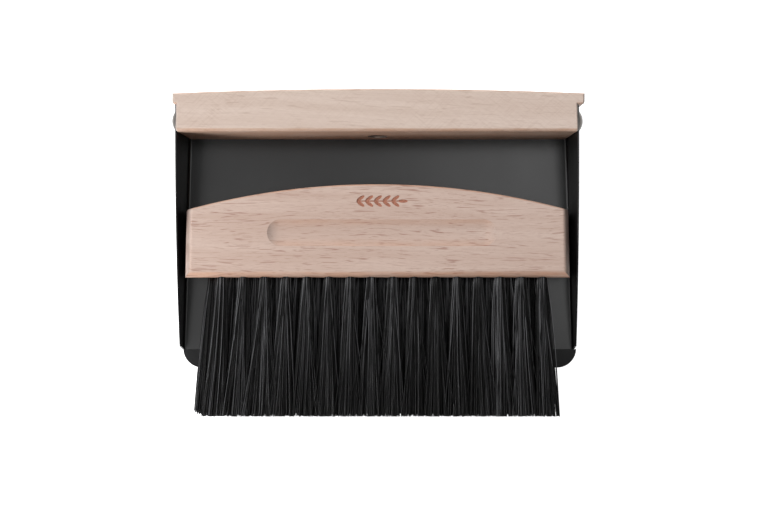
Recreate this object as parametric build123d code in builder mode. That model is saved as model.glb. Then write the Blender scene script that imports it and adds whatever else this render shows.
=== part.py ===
from build123d import *

import os
from math import cos, hypot, pi, sin

# Magnetic table dustpan with its hand brush lying in the pan. All sizes are in millimetres.
# X runs across the pan, +Y points back to the wooden handle block and +Z is up.
# The origin is on the table, at the middle of the footprint of the whole set.

# ---- Driving dimensions: lengths along Y, from the back to the front ----
handle_depth = 24.75  # wooden handle block, at its crown
flange_depth = 9.05  # the block's rear flange, at its crown
rear_crown = 2.6  # how far the rear edge bulges behind its ends
dock_gap = 29.8  # free floor between the handle block and the brush
brush_depth = 55.7  # brush block, from the arch's crown to the bristle face
bristle_length = 82.9  # bristles outside the brush block
pan_depth = 158.1  # steel, from the flange to the front of the lip
lip_depth = 11.7  # sloping lip, in front of the fold

# ---- Steel tray ----
sheet = 1.0
bend_radius = 1.4  # inside radius of the two long bends
pan_rear_half = 117.75  # half width outside, at the flange
pan_front_half = 122.0  # half width outside, at the fold
lip_half = 122.4
lip_shift = 0.9  # the lip stands out further on the right
lip_corner = 11.5
floor_lift = 1.6  # underside of the floor above the table
wall_rear_top = 38.0
wall_mid_top = 27.6
wall_front_top = 10.7
wall_front_slant = 2.8  # the wall's front edge leans back by this much
edge_break = 0.35  # rounding on the sheet's open edges

# ---- Wooden handle block ----
handle_height = 40.0
flange_half = 119.9
flange_shift = 0.85  # the flange stands out further on the right
ear_front_radius = 1.6
ear_rear_radius = 1.2
handle_edge_radius = 1.2
handle_front_radius = 2.0
bend_relief = 1.6  # chamfer that clears the tray's inside bends

# ---- Domed screws that hold the block between the walls ----
screw_height = 25.0  # axis above the table
screw_head_radius = 7.5
screw_head_height = 4.4
screw_rim = 0.6  # straight rim under the dome
screw_shank_radius = 2.4
screw_shank_length = 26.0
screw_point_length = 5.0
screw_pilot_radius = 2.2
screw_pilot_depth = 27.0
screw_clearance_radius = 2.7
socket_radius = 2.3  # hexagon socket, across corners / 2
socket_depth = 2.4

# ---- Brush block ----
brush_thickness = 24.0
brush_clearance = 0.5  # between the tray's floor and the block
brush_face_half = 115.2  # half width at the bristle face
brush_end_half = 114.4  # half width at the arch's ends
arch_rise = 15.4
brush_round = 4.5  # roundover on the ends and the bristle face
arch_round = 1.0
groove_length = 136.8
groove_width = 15.9
groove_depth = 1.2
groove_shift = 2.7  # the groove's middle, to the right of the block's middle
groove_from_face = 26.8
sprig_from_face = 45.6  # engraved sprig, above the groove
sprig_length = 33.0
sprig_shift = 1.5
engraving_depth = 0.3
stem_width = 0.7
leaf_length = 5.6
leaf_width = 2.0
leaf_spacing = 5.2
leaf_pairs = 5
leaf_turn = 35  # degrees from the stem

# ---- Magnet, steel disc ----
magnet_radius = 5.9
magnet_seat_radius = 5.95
magnet_seat_depth = 5.0
magnet_recess = 1.0
disc_thickness = 3.0
disc_recess = 0.2
disc_chamfer = 0.3

# ---- Bristle tufts ----
tufts_per_row = 16
tuft_pitch = 12.8
row_pitch = 6.6
row_shift = 2.8  # the top and bottom rows' middle, to the right of the block's middle
hole_radius = 3.1
hole_depth = 13.0
tuft_radius = 3.05
tuft_sides = 20
fan = 1.046  # spacing at the tips over spacing at the face
tip_lean = -1.0  # all the tips lean slightly to the left
tip_row_pitch = 7.4
tip_half_width = 6.5
tip_half_height = 3.55
anchor_length = 6.8
anchor_depth = 2.2
anchor_thickness = 0.5
anchor_inset = 1.0  # bristle bend between the anchor and the hole's bottom

# ---- Places worked out from the sizes above ----
total_length = handle_depth + dock_gap + brush_depth + bristle_length
handle_rear_y = total_length / 2
handle_front_y = handle_rear_y - handle_depth
flange_front_y = handle_rear_y - flange_depth
apex_y = handle_front_y - dock_gap
face_y = apex_y - brush_depth
shoulder_y = apex_y - arch_rise
tip_y = face_y - bristle_length
lip_y = flange_front_y - pan_depth
fold_y = lip_y + lip_depth
floor_top = floor_lift + sheet
brush_bottom = floor_top + brush_clearance
brush_top = brush_bottom + brush_thickness
brush_middle = brush_bottom + brush_thickness / 2
screw_y = (handle_front_y + flange_front_y) / 2
flare = (pan_front_half - pan_rear_half) / (flange_front_y - fold_y)
wall_thickness = sheet * hypot(1, flare)  # the sheet, measured along X
anchor_y = face_y + hole_depth - anchor_inset - anchor_depth / 2


def wall_outside(y):
    """Half width of the tray's outside at y: the walls open towards the front."""
    return pan_rear_half + (flange_front_y - y) * flare


def screw_plane(side):
    """Plane on a wall's outside at its screw, facing outwards."""
    slope = hypot(1, flare)
    return Plane(
        origin=(side * wall_outside(screw_y), screw_y, screw_height),
        x_dir=(0, 0, 1),
        z_dir=(side / slope, flare / slope, 0),
    )


def facing_front(x, y, z):
    """Plane at a point, facing the pan's open front."""
    return Plane(origin=(x, y, z), x_dir=(1, 0, 0), z_dir=(0, -1, 0))


def tuft_places():
    """(row, number, x, z) of every tuft's hole. The middle row stands half a pitch to the left."""
    half_row = (tufts_per_row - 1) / 2 * tuft_pitch
    places = []
    for step, row in ((1, "top"), (0, "middle"), (-1, "bottom")):
        start = row_shift - half_row - (tuft_pitch / 2 if row == "middle" else 0)
        for i in range(tufts_per_row):
            places.append((row, i + 1, start + i * tuft_pitch, brush_middle + step * row_pitch))
    return places


def save(part, name):
    part.label = name
    export_step(part, f"parts/{name}.step")


def make_lip():
    """The lip: a strip sloping from the fold down to the table, with rounded front corners."""
    with BuildPart() as lip:
        with BuildSketch(Plane.YZ):
            with BuildLine():
                Polyline(
                    (fold_y, floor_top),
                    (fold_y, floor_lift),
                    (lip_y, 0),
                    (lip_y, sheet),
                    close=True,
                )
            make_face()
        extrude(amount=lip_half + lip_shift, both=True)
        with BuildSketch() as outline:
            with Locations((lip_shift, (fold_y + lip_y) / 2)):
                Rectangle(2 * lip_half, lip_depth)
            fillet(outline.vertices().group_by(Axis.Y)[0], radius=lip_corner)
        extrude(amount=2 * floor_top, mode=Mode.INTERSECT)
        open_edges = lip.edges().filter_by(lambda e: e.length > 2 * sheet)
        fillet(open_edges.filter_by(lambda e: e.center().Y < fold_y - 1), radius=edge_break)
    return lip.part


def make_tray():
    """A folded sheet, open at the top, the back and the front, with the lip in front of the fold."""
    with BuildPart() as tray:
        with BuildSketch(Plane.XY.offset(floor_lift)):
            with BuildLine():
                Polyline(
                    (-pan_rear_half, flange_front_y),
                    (pan_rear_half, flange_front_y),
                    (pan_front_half, fold_y),
                    (-pan_front_half, fold_y),
                    close=True,
                )
            make_face()
        extrude(amount=wall_rear_top - floor_lift)
        bends = tray.faces().sort_by(Axis.Z)[0].edges().sort_by(Axis.X)
        fillet([bends[0], bends[-1]], radius=bend_radius + sheet)
        open_top = tray.faces().sort_by(Axis.Z)[-1]
        ends = tray.faces().sort_by(Axis.Y)
        offset(amount=-sheet, openings=[open_top, ends[0], ends[-1]])
        # the walls' top edge falls towards the front in a shallow arc
        wall_front_y = fold_y + wall_front_slant
        with BuildSketch(Plane.YZ):
            with BuildLine():
                ThreePointArc(
                    (flange_front_y, wall_rear_top),
                    ((flange_front_y + wall_front_y) / 2, wall_mid_top),
                    (wall_front_y, wall_front_top),
                )
                Polyline(
                    (wall_front_y, wall_front_top),
                    (fold_y, floor_top),
                    (fold_y, 0),
                    (flange_front_y, 0),
                    (flange_front_y, wall_rear_top),
                )
            make_face()
        extrude(amount=2 * pan_front_half, both=True, mode=Mode.INTERSECT)
        rims = tray.edges().filter_by(lambda e: e.length > pan_depth / 2)
        fillet(rims.filter_by(lambda e: e.center().Z > wall_front_top), radius=edge_break)
        add(make_lip())
        for wall in (-1, 1):
            with BuildSketch(screw_plane(wall)):
                Circle(screw_clearance_radius)
            extrude(amount=-3 * sheet, mode=Mode.SUBTRACT)
    return tray.part


def make_handle():
    """The wooden handle block: a body between the walls, and a flange behind their rear edges."""
    with BuildPart() as handle:
        front_half = wall_outside(handle_front_y) - wall_thickness
        rear_half = wall_outside(flange_front_y) - wall_thickness
        with BuildSketch(Plane.XY.offset(floor_top)):
            with BuildLine():
                Polyline(
                    (-rear_half, flange_front_y),
                    (rear_half, flange_front_y),
                    (front_half, handle_front_y),
                    (-front_half, handle_front_y),
                    close=True,
                )
            make_face()
        extrude(amount=handle_height - floor_top)
        reliefs = handle.faces().sort_by(Axis.Z)[0].edges().sort_by(Axis.X)
        chamfer([reliefs[0], reliefs[-1]], length=bend_relief)

        flange_end_y = handle_rear_y - rear_crown
        left, right = flange_shift - flange_half, flange_shift + flange_half
        with BuildSketch() as flange:
            with BuildLine():
                Polyline(
                    (left, flange_end_y),
                    (left, flange_front_y),
                    (right, flange_front_y),
                    (right, flange_end_y),
                )
                ThreePointArc(
                    (left, flange_end_y),
                    (flange_shift, handle_rear_y),
                    (right, flange_end_y),
                )
            make_face()
            corners = flange.vertices().group_by(Axis.Y)
            fillet(corners[0], radius=ear_front_radius)
            fillet(corners[-1], radius=ear_rear_radius)
        extrude(amount=handle_height)

        rim = handle.faces().sort_by(Axis.Z)[-1].edges().sort_by(Axis.Y)
        fillet(rim[0], radius=handle_front_radius)
        rim = handle.faces().sort_by(Axis.Z)[-1].edges().sort_by(Axis.Y)
        fillet(rim[1:], radius=handle_edge_radius)
        foot = handle.faces().sort_by(Axis.Z)[0].edges().sort_by(Axis.Y)
        fillet(foot[-1], radius=handle_edge_radius)

        with BuildSketch(facing_front(0, handle_front_y, brush_middle)):
            Circle(magnet_seat_radius)
        extrude(amount=-magnet_seat_depth, mode=Mode.SUBTRACT)
        for wall in (-1, 1):
            with BuildSketch(screw_plane(wall)):
                Circle(screw_pilot_radius)
            extrude(amount=-screw_pilot_depth, mode=Mode.SUBTRACT)
    return handle.part


def make_screw(wall):
    """A domed screw with a hexagon socket: its head on a wall's outside, its point in the block."""
    seat = screw_plane(wall)
    section = Plane(origin=seat.origin, x_dir=seat.z_dir, z_dir=seat.x_dir)
    dome_rise = screw_head_height - screw_rim
    dome_radius = (screw_head_radius**2 + dome_rise**2) / (2 * dome_rise)
    with BuildPart() as screw:
        with BuildSketch(section):
            with BuildLine():
                Polyline(
                    (screw_head_height, 0),
                    (-screw_shank_length, 0),
                    (screw_point_length - screw_shank_length, screw_shank_radius),
                    (0, screw_shank_radius),
                    (0, screw_head_radius),
                    (screw_rim, screw_head_radius),
                )
                RadiusArc((screw_rim, screw_head_radius), (screw_head_height, 0), dome_radius)
            make_face()
        revolve(axis=Axis(seat.origin, seat.z_dir))
        with BuildSketch(seat.offset(screw_head_height)):
            RegularPolygon(radius=socket_radius, side_count=6)
        extrude(amount=-socket_depth, mode=Mode.SUBTRACT)
    return screw.part


def make_disc(front_y, depth):
    """A chamfered disc on the magnet's axis, from front_y backwards."""
    with BuildPart() as disc:
        with BuildSketch(facing_front(0, front_y, brush_middle)):
            Circle(magnet_radius)
        extrude(amount=-depth)
        chamfer(disc.edges().filter_by(GeomType.CIRCLE), length=disc_chamfer)
    return disc.part


def make_brush_block():
    """The arched block: finger grooves, a seat for the steel disc, tuft holes and an engraving."""
    with BuildPart() as block:
        with BuildSketch(Plane.XY.offset(brush_bottom)):
            with BuildLine():
                Polyline(
                    (-brush_end_half, shoulder_y),
                    (-brush_face_half, face_y),
                    (brush_face_half, face_y),
                    (brush_end_half, shoulder_y),
                )
                ThreePointArc(
                    (-brush_end_half, shoulder_y),
                    (0, apex_y),
                    (brush_end_half, shoulder_y),
                )
            make_face()
        extrude(amount=brush_thickness)
        outline = block.edges().filter_by(Plane.XY)
        fillet(outline.filter_by(GeomType.LINE), radius=brush_round)
        arches = block.edges().filter_by(GeomType.CIRCLE)
        fillet(arches.filter_by(lambda e: e.length > brush_end_half), radius=arch_round)

        # a cutter's path: one straight run with a ball's print at each end
        groove_radius = (groove_width**2 / 4 + groove_depth**2) / (2 * groove_depth)
        groove_run = groove_length - groove_width
        groove_y = face_y + groove_from_face
        start = groove_shift - groove_run / 2
        above = brush_top - groove_depth + groove_radius
        below = brush_bottom + groove_depth - groove_radius
        for z in (above, below):
            with BuildSketch(Plane.YZ.offset(start)):
                with Locations((groove_y, z)):
                    Circle(groove_radius)
            extrude(amount=groove_run, mode=Mode.SUBTRACT)
            with Locations((start, groove_y, z), (start + groove_run, groove_y, z)):
                Sphere(groove_radius, mode=Mode.SUBTRACT)

        with BuildSketch(facing_front(0, apex_y, brush_middle)):
            Circle(magnet_seat_radius)
        extrude(amount=disc_recess + disc_thickness, mode=Mode.SUBTRACT)
        for row, number, x, z in tuft_places():
            with BuildSketch(facing_front(x, face_y, z)):
                Circle(hole_radius)
            extrude(amount=-hole_depth, mode=Mode.SUBTRACT)
        with BuildSketch(Plane.XY.offset(brush_top)):
            add(make_sprig())
        extrude(amount=-engraving_depth, mode=Mode.SUBTRACT)
    return block.part


def make_sprig():
    """Outline of the engraved sprig: a stem with pairs of leaves, and one leaf at its tip."""
    middle_y = face_y + sprig_from_face
    with BuildSketch() as sprig:
        with Locations((sprig_shift, middle_y)):
            Rectangle(sprig_length - leaf_length, stem_width)
        with Locations((sprig_shift + (sprig_length - leaf_length) / 2, middle_y)):
            Ellipse(leaf_length / 2, leaf_width / 2)
        for i in range(leaf_pairs):
            joint = Pos(sprig_shift + (i + 0.5) * leaf_spacing - sprig_length / 2, middle_y)
            for turn in (-leaf_turn, leaf_turn):
                with Locations(joint * Rot(0, 0, turn) * Pos(leaf_length / 2, 0)):
                    Ellipse(leaf_length / 2, leaf_width / 2)
    return sprig.sketch


def tuft_outline(half_width, half_height):
    """A tuft's section: a polygon on an oval, since the bristles make no smooth surface."""
    turns = [2 * pi * i / tuft_sides for i in range(tuft_sides)]
    Polygon(*[(half_width * cos(t), half_height * sin(t)) for t in turns], align=None)


def make_tuft(x, z):
    """One tuft, folded round its anchor: a round root in its hole, spreading to an oval tip."""
    tip_z = brush_middle + (z - brush_middle) * tip_row_pitch / row_pitch
    with BuildPart() as tuft:
        with BuildSketch(facing_front(x, face_y, z)):
            tuft_outline(tuft_radius, tuft_radius)
        with BuildSketch(facing_front(x * fan + tip_lean, tip_y, tip_z)):
            tuft_outline(tip_half_width, tip_half_height)
        loft(ruled=True)
        with BuildSketch(facing_front(x, face_y, z)):
            tuft_outline(tuft_radius, tuft_radius)
        extrude(amount=-hole_depth)
        with Locations((x, anchor_y, z)):
            Box(2 * hole_radius, anchor_depth, anchor_thickness, mode=Mode.SUBTRACT)
    return tuft.part


def make_anchors():
    """The flat wire anchors of all tufts. Their ends bite into the wood beside the holes."""
    with BuildPart() as anchors:
        with Locations([(x, anchor_y, z) for row, number, x, z in tuft_places()]):
            Box(anchor_length, anchor_depth, anchor_thickness)
    return anchors.part


os.makedirs("parts", exist_ok=True)

save(make_tray(), "dustpan_tray")
save(make_handle(), "dustpan_handle")
save(make_screw(-1), "handle_screw_left")
save(make_screw(1), "handle_screw_right")
save(make_disc(handle_front_y + magnet_recess, magnet_seat_depth - magnet_recess), "dustpan_magnet")

save(make_brush_block(), "brush_block")
save(make_disc(apex_y - disc_recess - disc_thickness, disc_thickness), "brush_disc")
save(make_anchors(), "tuft_anchors")
for row, number, x, z in tuft_places():
    save(make_tuft(x, z), f"tuft_{row}_{number:02d}")
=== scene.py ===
import math

import bpy
import numpy as np
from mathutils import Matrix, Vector


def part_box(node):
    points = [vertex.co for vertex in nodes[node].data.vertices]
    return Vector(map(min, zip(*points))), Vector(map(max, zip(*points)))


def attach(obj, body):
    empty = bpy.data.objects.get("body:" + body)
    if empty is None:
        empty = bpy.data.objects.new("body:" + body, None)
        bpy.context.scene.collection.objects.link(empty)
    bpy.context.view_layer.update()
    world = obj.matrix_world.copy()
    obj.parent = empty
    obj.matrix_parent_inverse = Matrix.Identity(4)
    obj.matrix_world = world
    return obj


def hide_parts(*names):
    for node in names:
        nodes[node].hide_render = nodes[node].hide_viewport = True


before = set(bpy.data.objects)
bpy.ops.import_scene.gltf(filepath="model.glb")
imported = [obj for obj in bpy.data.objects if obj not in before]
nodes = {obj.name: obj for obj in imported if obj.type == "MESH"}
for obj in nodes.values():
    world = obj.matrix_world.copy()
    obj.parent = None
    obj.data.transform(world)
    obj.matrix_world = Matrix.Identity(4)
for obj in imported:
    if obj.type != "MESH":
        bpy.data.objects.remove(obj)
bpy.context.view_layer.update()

MM = 0.001


# ---- Small helpers for node trees ----
def new_material(name):
    """A material with one Principled shader, and its tree."""
    material = bpy.data.materials.new(name)
    material.use_nodes = True
    tree = material.node_tree
    return material, tree, tree.nodes["Principled BSDF"]


def put(tree, socket, value):
    """Links a socket, or sets a plain value."""
    if isinstance(value, bpy.types.NodeSocket):
        tree.links.new(value, socket)
    else:
        socket.default_value = value


def maths(tree, operation, *values, clamp=False):
    n = tree.nodes.new("ShaderNodeMath")
    n.operation = operation
    n.use_clamp = clamp
    for socket, value in zip(n.inputs, values):
        put(tree, socket, value)
    return n.outputs[0]


def vector(tree, operation, a, b):
    n = tree.nodes.new("ShaderNodeVectorMath")
    n.operation = operation
    put(tree, n.inputs[0], a)
    put(tree, n.inputs[1], b)
    return n.outputs[0]


def split(tree, source):
    """The X, Y and Z of a vector."""
    n = tree.nodes.new("ShaderNodeSeparateXYZ")
    put(tree, n.inputs[0], source)
    return list(n.outputs)


def join(tree, *values):
    """A vector made of X, Y and Z."""
    n = tree.nodes.new("ShaderNodeCombineXYZ")
    for socket, value in zip(n.inputs, values):
        put(tree, socket, value)
    return n.outputs[0]


def noise(tree, at, scale, detail=2.0, roughness=0.5):
    """Noise at a place in millimetres; scale is waves per millimetre along X, Y and Z."""
    n = tree.nodes.new("ShaderNodeTexNoise")
    put(tree, n.inputs["Vector"], vector(tree, "MULTIPLY", at, scale))
    n.inputs["Scale"].default_value = 1.0
    n.inputs["Detail"].default_value = detail
    n.inputs["Roughness"].default_value = roughness
    return n.outputs["Fac"]


def spread(tree, value, low, high, to_low=0.0, to_high=1.0):
    """A smooth step: to_low below low, to_high above high."""
    n = tree.nodes.new("ShaderNodeMapRange")
    n.interpolation_type = "SMOOTHSTEP"
    put(tree, n.inputs["Value"], value)
    for name, number in (
        ("From Min", low), ("From Max", high), ("To Min", to_low), ("To Max", to_high)
    ):
        n.inputs[name].default_value = number
    return n.outputs["Result"]


def blend_colour(tree, factor, a, b):
    """Colour a where factor is 0 and colour b where it is 1."""
    n = tree.nodes.new("ShaderNodeMix")
    n.data_type = "RGBA"
    put(tree, n.inputs["Factor"], factor)
    colour_sockets = [s for s in n.inputs if s.type == "RGBA"]
    for socket, value in zip(colour_sockets, (a, b)):
        put(tree, socket, value if isinstance(value, bpy.types.NodeSocket) else (*value, 1.0))
    return [s for s in n.outputs if s.type == "RGBA"][0]


def bump(tree, height, distance, strength, under=None):
    """A bumped normal, on top of another one if that is given."""
    n = tree.nodes.new("ShaderNodeBump")
    n.inputs["Strength"].default_value = strength
    n.inputs["Distance"].default_value = distance
    put(tree, n.inputs["Height"], height)
    if under is not None:
        put(tree, n.inputs["Normal"], under)
    return n.outputs[0]


def place_mm(tree):
    """The place on the object in millimetres."""
    n = tree.nodes.new("ShaderNodeTexCoord")
    return vector(tree, "MULTIPLY", n.outputs["Object"], (1 / MM,) * 3)


def facing(tree):
    """The object's own normal."""
    return tree.nodes.new("ShaderNodeTexCoord").outputs["Normal"]


def inside_box(tree, place, low, high):
    """1 inside the box between two corners in millimetres, and 0 outside it."""
    inside = 1.0
    for at, least, most in zip(split(tree, place), low, high):
        above = maths(tree, "GREATER_THAN", at, least)
        below = maths(tree, "LESS_THAN", at, most)
        inside = maths(tree, "MULTIPLY", inside, maths(tree, "MULTIPLY", above, below))
    return inside


# ---- Beech ----
def along_grain(tree, place, slope):
    """The place, moved in Y and Z so that the grain runs along X with a slope and a slow wave."""
    wave_y, wave_z = 9.0, -5.0
    x, y, z = split(tree, place)
    wave = noise(tree, place, (0.011, 0.02, 0.02), detail=1.0)
    lean = maths(tree, "MULTIPLY_ADD", wave, wave_y, maths(tree, "MULTIPLY", x, slope))
    return join(tree, x, maths(tree, "ADD", y, lean), maths(tree, "MULTIPLY_ADD", wave, wave_z, z))


def vessel_lines(tree, grain):
    """Thin dark lines along the grain, broken into dashes, in loose clusters."""
    faint = 0.55
    clusters = spread(tree, noise(tree, grain, (0.02, 0.09, 0.09)), 0.34, 0.60, 0.65, 1.0)
    # a long thin line runs wherever this noise crosses its middle value
    level = noise(tree, grain, (0.022, 0.50, 0.50), detail=1.0)
    off_line = maths(tree, "ABSOLUTE", maths(tree, "SUBTRACT", level, 0.5))
    thin_line = spread(tree, off_line, 0.0, 0.045, 1.0, 0.0)
    broken = spread(tree, noise(tree, grain, (0.10, 0.8, 0.8), detail=1.0), 0.46, 0.60)
    long_dash = maths(tree, "MULTIPLY", thin_line, broken)
    short_dash = spread(tree, noise(tree, grain, (0.18, 3.2, 3.2), detail=1.0), 0.60, 0.69)
    dashes = maths(tree, "MAXIMUM", long_dash, maths(tree, "MULTIPLY", short_dash, faint))
    return maths(tree, "MULTIPLY", dashes, clusters)


def sanding_marks(tree, place):
    """Fine sanding marks in two crossing directions, denser in some places than in others."""
    over = spread(tree, noise(tree, place, (0.02, 0.03, 0.03), detail=1.0), 0.40, 0.60, 0.35, 1.0)
    marks = []
    for radians in (0.62, -0.75):
        turned = tree.nodes.new("ShaderNodeVectorRotate")
        turned.rotation_type = "Z_AXIS"
        turned.inputs["Angle"].default_value = radians
        put(tree, turned.inputs["Vector"], place)
        lines = noise(tree, turned.outputs[0], (0.07, 1.5, 0.3))
        marks.append(maths(tree, "MULTIPLY", spread(tree, lines, 0.50, 0.66), over))
    return marks


def sawn_end(tree, place, to_right, light, dark, fleck):
    """The colour of a sawn end: duller, with dots and arcs in place of fibres, and painted shade on
    the end that looks to the right.
    """
    dot_strength = 0.4
    dots = spread(tree, noise(tree, place, (0.3, 2.6, 2.6), 3.0, 0.6), 0.45, 0.70)
    arcs = spread(tree, noise(tree, place, (0.02, 0.10, 0.55), 3.0, 0.6), 0.35, 0.65)
    pale = tuple(c * f for c, f in zip(light, (0.56, 0.58, 0.60)))
    deep = tuple(c * f for c, f in zip(dark, (0.50, 0.52, 0.54)))
    cut = blend_colour(tree, arcs, pale, deep)
    cut = blend_colour(tree, maths(tree, "MULTIPLY", dots, dot_strength), cut, fleck)
    # painted shade: the end that looks to the right is made darker, for the shade it lies in
    shaded_right_end = vector(tree, "MULTIPLY", cut, (0.60, 0.59, 0.58))
    return blend_colour(tree, spread(tree, to_right, 0.10, 0.60), cut, shaded_right_end)


def beech(
    name, *, light, dark, fleck, fleck_strength, edge_tint, back_tint, slope, seed,
    sanded=False, engraved=None,
):
    """Beech with its grain along X, sawn ends on the faces that look along X, and a tint on the
    faces that look to the front and the back.

    back_tint is the share of edge_tint that the edges at the back get. engraved is a box, two
    corners in millimetres, inside which the wood is scorched.
    """
    pore_strength, mark_strength = 0.20, 0.20
    material, tree, shader = new_material(name)
    own_place = place_mm(tree)
    to_right, to_back, _ = split(tree, facing(tree))
    # each piece of wood shows another part of the plank
    place = vector(tree, "ADD", own_place, (seed * 131.0, seed * 57.0, seed * 23.0))
    grain = along_grain(tree, place, slope)

    rings = noise(tree, grain, (0.006, 0.16, 0.13), 3.0, 0.6)
    fibres = noise(tree, grain, (0.05, 1.7, 1.7), 4.0, 0.65)
    flecks = vessel_lines(tree, grain)
    pores = spread(tree, noise(tree, grain, (0.5, 5.0, 5.0), 2.0, 0.6), 0.60, 0.72)
    colour = blend_colour(tree, spread(tree, rings, 0.32, 0.68), light, dark)
    colour = blend_colour(tree, spread(tree, fibres, 0.42, 0.72, 0.0, 0.45), colour, dark)
    colour = blend_colour(tree, maths(tree, "MULTIPLY", flecks, fleck_strength), colour, fleck)
    colour = blend_colour(tree, maths(tree, "MULTIPLY", pores, pore_strength), colour, fleck)
    height = maths(tree, "MULTIPLY_ADD", pores, -0.7, fibres)
    height = maths(tree, "MULTIPLY_ADD", flecks, -0.25, height)

    if sanded:
        for marks in sanding_marks(tree, place):
            colour = blend_colour(tree, maths(tree, "MULTIPLY", marks, mark_strength), colour, fleck)

    # faces that look to the front, and by back_tint those that look to the back, get edge_tint
    # multiplied in, in patches
    front_edge = spread(tree, maths(tree, "MULTIPLY", to_back, -1.0), 0.09, 0.40)
    back_edge = spread(tree, to_back, 0.09, 0.40, 0.0, back_tint)
    edge = maths(tree, "MAXIMUM", front_edge, back_edge)
    patches = spread(tree, noise(tree, place, (0.06, 0.3, 0.3), 3.0, 0.6), 0.35, 0.65, 0.55, 1.0)
    warm = vector(tree, "MULTIPLY", colour, edge_tint)
    colour = blend_colour(tree, maths(tree, "MULTIPLY", edge, patches), colour, warm)

    end = spread(tree, maths(tree, "ABSOLUTE", to_right), 0.06, 0.50)
    colour = blend_colour(tree, end, colour, sawn_end(tree, place, to_right, light, dark, fleck))
    roughness = maths(tree, "MULTIPLY_ADD", fibres, 0.16, 0.34)
    roughness = maths(tree, "MULTIPLY_ADD", end, 0.12, roughness)

    if engraved is not None:
        brown, deep_brown = (0.45, 0.175, 0.105), (0.28, 0.105, 0.062)
        inside = inside_box(tree, own_place, *engraved)
        scorch = spread(tree, noise(tree, place, (1.3, 1.3, 1.3), 3.0, 0.6), 0.35, 0.70)
        colour = blend_colour(tree, inside, colour, blend_colour(tree, scorch, brown, deep_brown))
        roughness = maths(tree, "MULTIPLY_ADD", inside, 0.25, roughness)

    put(tree, shader.inputs["Base Color"], colour)
    put(tree, shader.inputs["Roughness"], roughness)
    put(tree, shader.inputs["Normal"], bump(tree, height, 0.05 * MM, 0.6))
    shader.inputs["Specular IOR Level"].default_value = 0.5
    shader.inputs["Coat Weight"].default_value = 0.12
    shader.inputs["Coat Roughness"].default_value = 0.22
    return material


# ---- Black powder coat ----
def powder_coat():
    """Fine-textured black, with a faint orange peel, grit and cloudiness."""
    deep_black, soft_black = (0.003, 0.003, 0.0033), (0.006, 0.006, 0.0065)
    material, tree, shader = new_material("powder_coat")
    place = place_mm(tree)
    peel = noise(tree, place, (1.1, 1.1, 1.1))
    grit = noise(tree, place, (4.5, 4.5, 4.5), 2.0, 0.6)
    cloud = noise(tree, place, (0.03, 0.03, 0.03))
    tone = maths(tree, "MULTIPLY_ADD", grit, 0.5, maths(tree, "MULTIPLY", cloud, 0.5))
    colour = blend_colour(tree, spread(tree, tone, 0.3, 0.7), deep_black, soft_black)
    put(tree, shader.inputs["Base Color"], colour)
    roughness = maths(tree, "MULTIPLY_ADD", cloud, 0.06, 0.27)
    put(tree, shader.inputs["Roughness"], maths(tree, "MULTIPLY_ADD", grit, 0.08, roughness))
    shell = bump(tree, peel, 0.035 * MM, 0.5)
    put(tree, shader.inputs["Normal"], bump(tree, grit, 0.012 * MM, 0.5, shell))
    shader.inputs["Specular IOR Level"].default_value = 0.5
    return material


# ---- Metals ----
def brushed_metal(name, bright, dull, roughness, scale, metallic=1.0):
    """Metal with faint stains and fine lines; scale is that of the lines."""
    material, tree, shader = new_material(name)
    place = place_mm(tree)
    lines = noise(tree, place, scale, 3.0, 0.6)
    stains = noise(tree, place, (0.5, 0.5, 0.5))
    tone = maths(tree, "MULTIPLY_ADD", lines, 0.6, maths(tree, "MULTIPLY", stains, 0.4))
    colour = blend_colour(tree, spread(tree, tone, 0.3, 0.7), bright, dull)
    put(tree, shader.inputs["Base Color"], colour)
    put(tree, shader.inputs["Roughness"], maths(tree, "MULTIPLY_ADD", tone, 0.18, roughness))
    put(tree, shader.inputs["Normal"], bump(tree, lines, 0.01 * MM, 0.4))
    shader.inputs["Metallic"].default_value = metallic
    return material


# ---- Bristles ----
def bristle_material():
    """Black nylon: each filament has its own tone, and painted shade makes all blackest at the cut
    tips.
    """
    black, grey = (0.0012, 0.0012, 0.0013), (0.150, 0.150, 0.157)
    material, tree, shader = new_material("bristle_nylon")
    each = tree.nodes.new("ShaderNodeNewGeometry").outputs["Random Per Island"]
    place = place_mm(tree)
    along = noise(tree, place, (1.0, 0.06, 1.0))
    tone = maths(tree, "MULTIPLY_ADD", along, 0.2, maths(tree, "MULTIPLY", each, 0.8))
    # painted light and shade: the tips at the left end, and a little at the right end, are made less
    # black, and elsewhere the filaments are made blacker towards the cut tips
    x, y, _ = split(tree, place)
    painted_light_left = spread(tree, x, -95.0, -45.0, 0.65, 0.0)
    painted_light_at_ends = maths(tree, "ADD", painted_light_left, spread(tree, x, 35.0, 70.0, 0.0, 0.30))
    painted_shade_and_light = maths(tree, "ADD", spread(tree, y, -85.0, -30.0, 0.10, 1.0), painted_light_at_ends, clamp=True)
    light = maths(tree, "MULTIPLY", spread(tree, tone, 0.56, 0.92), painted_shade_and_light)
    put(tree, shader.inputs["Base Color"], blend_colour(tree, light, black, grey))
    put(tree, shader.inputs["Roughness"], maths(tree, "MULTIPLY_ADD", each, -0.22, 0.52))
    put(tree, shader.inputs["Normal"], bump(tree, along, 0.01 * MM, 0.2))
    shader.inputs["Specular IOR Level"].default_value = 0.22
    return material


HOLE_DEPTH = 13.0 * MM
START_IN_HOLE = 5.0 * MM
END_ZONE = 0.2 * MM
RADII_MM = (0.20, 0.29)
UNEVEN_CUT_MM = 0.05
BOW_MM = 0.45
LAST_STATION = 0.996
BRISTLE_SIDES = 4
BRISTLE_STEPS = 9
# across a tuft, whose half width counts as 1
JITTER = 0.03
GATHERED_SHARE = 0.6
TIP_FULLNESS, TIP_LIMIT = 1.08, 1.12
STRAY_REACH = 0.60


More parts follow.
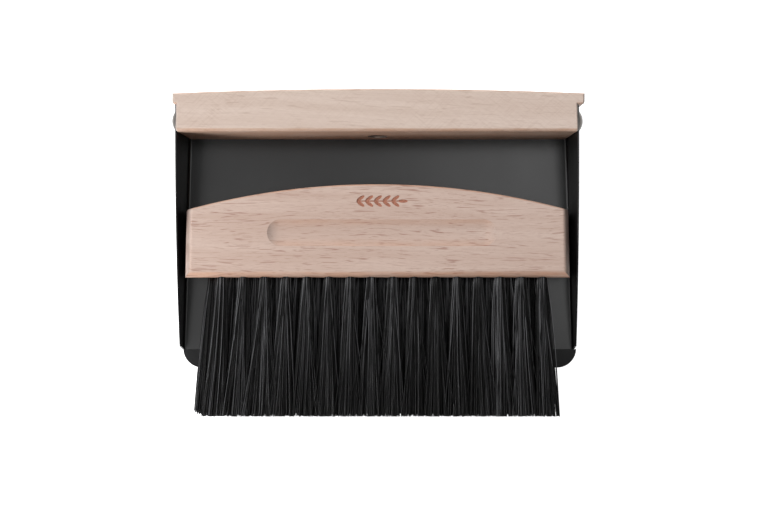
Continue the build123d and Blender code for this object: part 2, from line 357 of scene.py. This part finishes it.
def tuft_ends(node):
    """A plain tuft's y at tip and root, and the middle and half size of its tip and its root."""
    points = np.array([v.co for v in nodes[node].data.vertices])
    tip_y, root_y = points[:, 1].min(), points[:, 1].max()
    tip = points[points[:, 1] < tip_y + END_ZONE]
    root = points[points[:, 1] > root_y - END_ZONE]
    boxes = [((end.max(0) + end.min(0)) / 2, (end.max(0) - end.min(0)) / 2) for end in (tip, root)]
    return tip_y, root_y, *boxes


def scatter(rng, count, clumps, pull, strays):
    """Each filament's place across the root and across the tips, from -1 to 1 both ways.

    A round bunch at the root spreads to a rounded square of loose strands at the tips.
    """
    order = np.arange(count) + 0.5
    turn = order * math.pi * (3 - math.sqrt(5)) + rng.uniform(0, 6.28)
    disc = np.sqrt(order / count)[:, None] * np.stack([np.cos(turn), np.sin(turn)], 1)
    disc += rng.normal(0, JITTER, disc.shape)
    squareness = 1 / np.maximum(np.abs(np.cos(turn)), np.abs(np.sin(turn)))
    at_root = disc * 0.90
    at_tip = disc * (0.10 + 0.90 * squareness[:, None])
    # more than half of them draw together into strands
    strands = at_tip[rng.choice(count, clumps, replace=False)]
    nearest = np.argmin(((at_tip[:, None] - strands[None]) ** 2).sum(2), 1)
    gathered = (rng.random(count) < GATHERED_SHARE)[:, None]
    at_tip += (strands[nearest] - at_tip) * pull * gathered
    at_tip = (at_tip + rng.normal(0, JITTER, disc.shape)) * TIP_FULLNESS
    at_tip = np.clip(at_tip, -TIP_LIMIT, TIP_LIMIT)
    # a few start near the middle and cross the others sideways, on top of them
    astray = rng.random(count) < strays
    at_tip[astray, 0] += rng.normal(0, STRAY_REACH, astray.sum())
    at_tip[astray, 1] = at_root[astray, 1] = rng.uniform(0.80, 1.0, astray.sum())
    at_root[astray, 0] *= 0.4
    return at_root, at_tip


def filament_mesh(name, rings):
    """Closed filaments; each ring is an array of filaments by corners by X, Y and Z."""
    count, sides, steps = len(rings[0]), BRISTLE_SIDES, BRISTLE_STEPS
    faces = []
    for i in range(count):
        base = i * (steps + 1) * sides
        for s in range(steps):
            for k in range(sides):
                a, b = base + s * sides + k, base + s * sides + (k + 1) % sides
                faces.append((a, b, b + sides, a + sides))
        last = base + steps * sides
        faces.append(tuple(last + k for k in range(sides)))
        faces.append(tuple(base + k for k in reversed(range(sides))))
    mesh = bpy.data.meshes.new(name)
    mesh.from_pydata(np.stack(rings, 1).reshape(-1, 3).tolist(), [], faces)
    # the sides are smooth, and each filament's last two faces are its flat ends
    smooth = np.ones(len(faces), bool)
    smooth[steps * sides :: steps * sides + 2] = False
    smooth[steps * sides + 1 :: steps * sides + 2] = False
    mesh.polygons.foreach_set("use_smooth", smooth)
    mesh.update()
    return mesh


def bristle_bundle(name, node, seed, spread_to, trim, count, clumps, pull, strays, bend):
    """The filaments of one tuft, from inside its hole to the cut tips.

    They gather in a number of clumps, pull says how tightly, strays is the share that goes
    astray, and bend how late the bundle opens (1 is straight from the hole).
    """
    rng = np.random.default_rng(seed)
    tip_y, root_y, (tip_centre, tip_half), (root_centre, root_half) = tuft_ends(node)
    at_root, at_tip = scatter(rng, count, clumps, pull, strays)
    tip_x = np.clip(tip_centre[0] + at_tip[:, 0] * tip_half[0], *spread_to)
    tip_z = tip_centre[2] + at_tip[:, 1] * tip_half[2]

    radius = rng.uniform(*RADII_MM, count)[:, None] * MM
    ends = tip_y + np.abs(rng.normal(0, UNEVEN_CUT_MM, count)) * MM
    if trim is not None:
        ends = ends + trim(tip_x)
    bow = rng.normal(0, BOW_MM, (count, 2)) * MM
    lean = rng.uniform(-0.6, 0.6, count)
    face_y = root_y - HOLE_DEPTH
    start_y = face_y + START_IN_HOLE
    corner = np.arange(BRISTLE_SIDES) / BRISTLE_SIDES * 2 * math.pi + math.pi / 4

    rings = []
    # the last ring but one lies just behind the cut, so that the shading stays even up to the tips
    stations = [*(np.arange(BRISTLE_STEPS) / (BRISTLE_STEPS - 1) * LAST_STATION), 1.0]
    for station in stations:
        y = start_y + (ends - start_y) * station
        out = np.clip((face_y - y) / (face_y - tip_y), 0.0, 1.0)
        flare = out**bend
        swing = np.sin(math.pi * out) * (1.0 + lean * (out - 0.5))
        # they spring apart just outside the hole
        free = 1.0 + 0.40 * np.minimum(out / 0.12, 1.0)
        x = (root_centre[0] + at_root[:, 0] * root_half[0] * free) * (1 - flare)
        x += tip_x * flare + bow[:, 0] * swing
        z = (root_centre[2] + at_root[:, 1] * root_half[2]) * (1 - flare)
        z += tip_z * flare + bow[:, 1] * swing * 0.5
        around = (
            x[:, None] + radius * np.cos(corner),
            np.repeat(y[:, None], BRISTLE_SIDES, 1),
            z[:, None] + radius * np.sin(corner),
        )
        rings.append(np.stack(around, 2))

    bundle = bpy.data.objects.new(name, filament_mesh(name, rings))
    bpy.context.scene.collection.objects.link(bundle)
    return bundle


# ---- Looks of the CAD pieces ----
# a box round the engraved sprig's floor, in millimetres
SPRIG_FROM_FRONT = 45.6
SPRIG_HALF_X, SPRIG_HALF_Y = 20.0, 5.0
SPRIG_DEPTH_MIN, SPRIG_DEPTH_MAX = 0.05, 0.5
brush_low, brush_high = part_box("brush_block")
sprig_y = brush_low[1] / MM + SPRIG_FROM_FRONT
brush_top = brush_high[2] / MM
sprig_box = (
    (-SPRIG_HALF_X, sprig_y - SPRIG_HALF_Y, brush_top - SPRIG_DEPTH_MAX),
    (SPRIG_HALF_X, sprig_y + SPRIG_HALF_Y, brush_top - SPRIG_DEPTH_MIN),
)

handle_wood = beech(
    "beech_handle",
    light=(0.70, 0.565, 0.485),
    dark=(0.64, 0.500, 0.420),
    fleck=(0.44, 0.29, 0.22),
    fleck_strength=0.46,
    edge_tint=(0.90, 0.73, 0.62),
    back_tint=0.3,
    slope=0.05,
    seed=1.0,
    sanded=True,
)
brush_wood = beech(
    "beech_brush",
    light=(0.620, 0.470, 0.398),
    dark=(0.54, 0.382, 0.312),
    fleck=(0.37, 0.21, 0.16),
    fleck_strength=1.0,
    edge_tint=(1.04, 0.86, 0.74),
    back_tint=1.0,
    slope=0.02,
    seed=2.0,
    engraved=sprig_box,
)
coat = powder_coat()
screw_metal = brushed_metal(
    "zinc_steel", (0.11, 0.10, 0.09), (0.06, 0.052, 0.045), 0.22, (1.0, 3.0, 3.0), metallic=0.9
)
# painted shade: the magnets are made nearly black and hardly metallic, for the shadow in the
# magnet's hole
magnet_painted_shade = brushed_metal(
    "nickel", (0.03, 0.028, 0.026), (0.012, 0.011, 0.01), 0.7, (3.0, 1.0, 3.0), metallic=0.15
)
wire = brushed_metal("anchor_wire", (0.55, 0.50, 0.40), (0.40, 0.35, 0.28), 0.32, (0.8, 3.0, 3.0))


def dress(node, material):
    mesh = nodes[node].data
    mesh.materials.clear()
    mesh.materials.append(material)


dress("dustpan_tray", coat)
dress("dustpan_handle", handle_wood)
dress("handle_screw_left", screw_metal)
dress("handle_screw_right", screw_metal)
dress("dustpan_magnet", magnet_painted_shade)
dress("brush_block", brush_wood)
dress("brush_disc", magnet_painted_shade)
dress("tuft_anchors", wire)

# even shading on the long narrow roundovers of the wood
for node in ("dustpan_handle", "brush_block"):
    weighted = nodes[node].modifiers.new("even_shading", "WEIGHTED_NORMAL")
    weighted.keep_sharp = True

# ---- Bristles in place of the plain tufts ----
ROWS = {
    "top": {"count": 220, "clumps": 30, "pull": 0.80, "strays": 0.07, "bend": 1.28},
    "middle": {"count": 150, "clumps": 30, "pull": 0.35, "strays": 0.03, "bend": 1.0},
    "bottom": {"count": 200, "clumps": 20, "pull": 0.0, "strays": 0.0, "bend": 0.9},
}
TUFTS_IN_ROW = 16
# the first tuft of each row is trimmed, evenly filled and without strays
FIRST_TUFT = {"pull": 0.1, "strays": 0.0}
TRIM_FROM_X = -107.8 * MM
TRIM_RADIUS = 4.0 * MM


def trimmed_corner(x):
    """The outermost bristles on the left are cut back in a small curve."""
    into = np.clip((TRIM_FROM_X - x) / TRIM_RADIUS, 0.0, 1.0)
    return (1.0 - np.sqrt(1.0 - into**2)) * TRIM_RADIUS


filament_black = bristle_material()
for row_number, (row, habit) in enumerate(ROWS.items(), 1):
    # no stray passes the outermost tips of its row
    spread_to = (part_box(f"tuft_{row}_01")[0][0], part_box(f"tuft_{row}_{TUFTS_IN_ROW}")[1][0])
    for number in range(1, TUFTS_IN_ROW + 1):
        bundle = bristle_bundle(
            f"bristles_{row}_{number:02d}",
            f"tuft_{row}_{number:02d}",
            100 * row_number + number,
            spread_to,
            trimmed_corner if number == 1 else None,
            **(habit | FIRST_TUFT if number == 1 else habit),
        )
        bundle.data.materials.append(filament_black)
        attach(bundle, "brush")
        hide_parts(f"tuft_{row}_{number:02d}")


# ---- Floor ----
def make_floor():
    """A wide white floor that glows enough to show as plain white."""
    reach, level = 3.0, -0.05 * MM
    corners = [(-reach, -reach), (reach, -reach), (reach, reach), (-reach, reach)]
    mesh = bpy.data.meshes.new("floor")
    mesh.from_pydata([(x, y, level) for x, y in corners], [], [(0, 1, 2, 3)])
    material, tree, shader = new_material("floor_paint")
    soft = noise(tree, place_mm(tree), (0.004, 0.004, 0.004))
    paint = blend_colour(tree, soft, (0.90, 0.90, 0.90), (0.93, 0.93, 0.93))
    put(tree, shader.inputs["Base Color"], paint)
    shader.inputs["Roughness"].default_value = 0.8
    shader.inputs["Specular IOR Level"].default_value = 0.2
    shader.inputs["Emission Color"].default_value = (1.0, 1.0, 1.0, 1.0)
    shader.inputs["Emission Strength"].default_value = 0.95
    mesh.materials.append(material)
    floor = bpy.data.objects.new("floor", mesh)
    bpy.context.scene.collection.objects.link(floor)


make_floor()


# ---- Light ----
def soft_box(name, bearing, height, reach, side, watts, target=(0, 0, 0)):
    """A square soft box at a bearing and height in degrees, out of the camera's sight.

    reach is its distance from the origin and side its size, both in metres.
    """
    data = bpy.data.lights.new(name, "AREA")
    data.size = side
    data.energy = watts
    bearing, height = math.radians(bearing), math.radians(height)
    lamp = bpy.data.objects.new(name, data)
    flat = reach * math.cos(height)
    lamp.location = (flat * math.cos(bearing), flat * math.sin(bearing), reach * math.sin(height))
    toward = Vector(target) - lamp.location
    lamp.rotation_euler = toward.to_track_quat("-Z", "Y").to_euler()
    lamp.visible_camera = False
    bpy.context.scene.collection.objects.link(lamp)


soft_box("key_left", bearing=150.0, height=33.0, reach=3.6, side=1.6, watts=115.0)
soft_box("high_left", bearing=180.0, height=62.0, reach=2.0, side=0.9, watts=5.0)
# these are mirrored in the pan's floor, which they turn from black to soft greys
soft_box("overhead", bearing=16.0, height=77.2, reach=1.64, side=0.5, watts=1.6)
soft_box("overhead_back", bearing=48.8, height=71.6, reach=1.69, side=0.5, watts=2.5)
soft_box("overhead_left", bearing=126.9, height=72.6, reach=1.68, side=0.5, watts=1.0)
soft_box("overhead_front_right", bearing=-29.7, height=73.2, reach=1.67, side=0.4, watts=1.1)
soft_box("overhead_front_left", bearing=207.6, height=72.0, reach=1.68, side=0.4, watts=0.8)
# a small one low in front lights the left part of the handle's front
soft_box(
    "near_front", bearing=210.0, height=12.5, reach=0.36, side=0.12, watts=0.78,
    target=(-0.05, 0.08, 0.02),
)

# dim surroundings, and a plain white backdrop
DIM, WHITE = 0.07, 1.0
world = bpy.data.worlds.new("studio")
bpy.context.scene.world = world
world.use_nodes = True
world_tree = world.node_tree
background = world_tree.nodes["Background"]
rays = world_tree.nodes.new("ShaderNodeLightPath")
seen = maths(world_tree, "MULTIPLY_ADD", rays.outputs["Is Camera Ray"], WHITE - DIM, DIM)
background.inputs["Color"].default_value = (1.0, 1.0, 1.0, 1.0)
put(world_tree, background.inputs["Strength"], seen)

# ---- Camera: straight down, as the photograph ----
CAMERA_AT = (10.45 * MM, 1.33 * MM, 550.0 * MM)
camera_data = bpy.data.cameras.new("camera")
camera_data.sensor_width = 36.0
camera_data.lens = 41.75
camera_data.shift_x = -0.0211
camera = bpy.data.objects.new("camera", camera_data)
camera.location = CAMERA_AT
bpy.context.scene.collection.objects.link(camera)
bpy.context.scene.camera = camera
bpy.context.scene.view_settings.view_transform = "Standard"
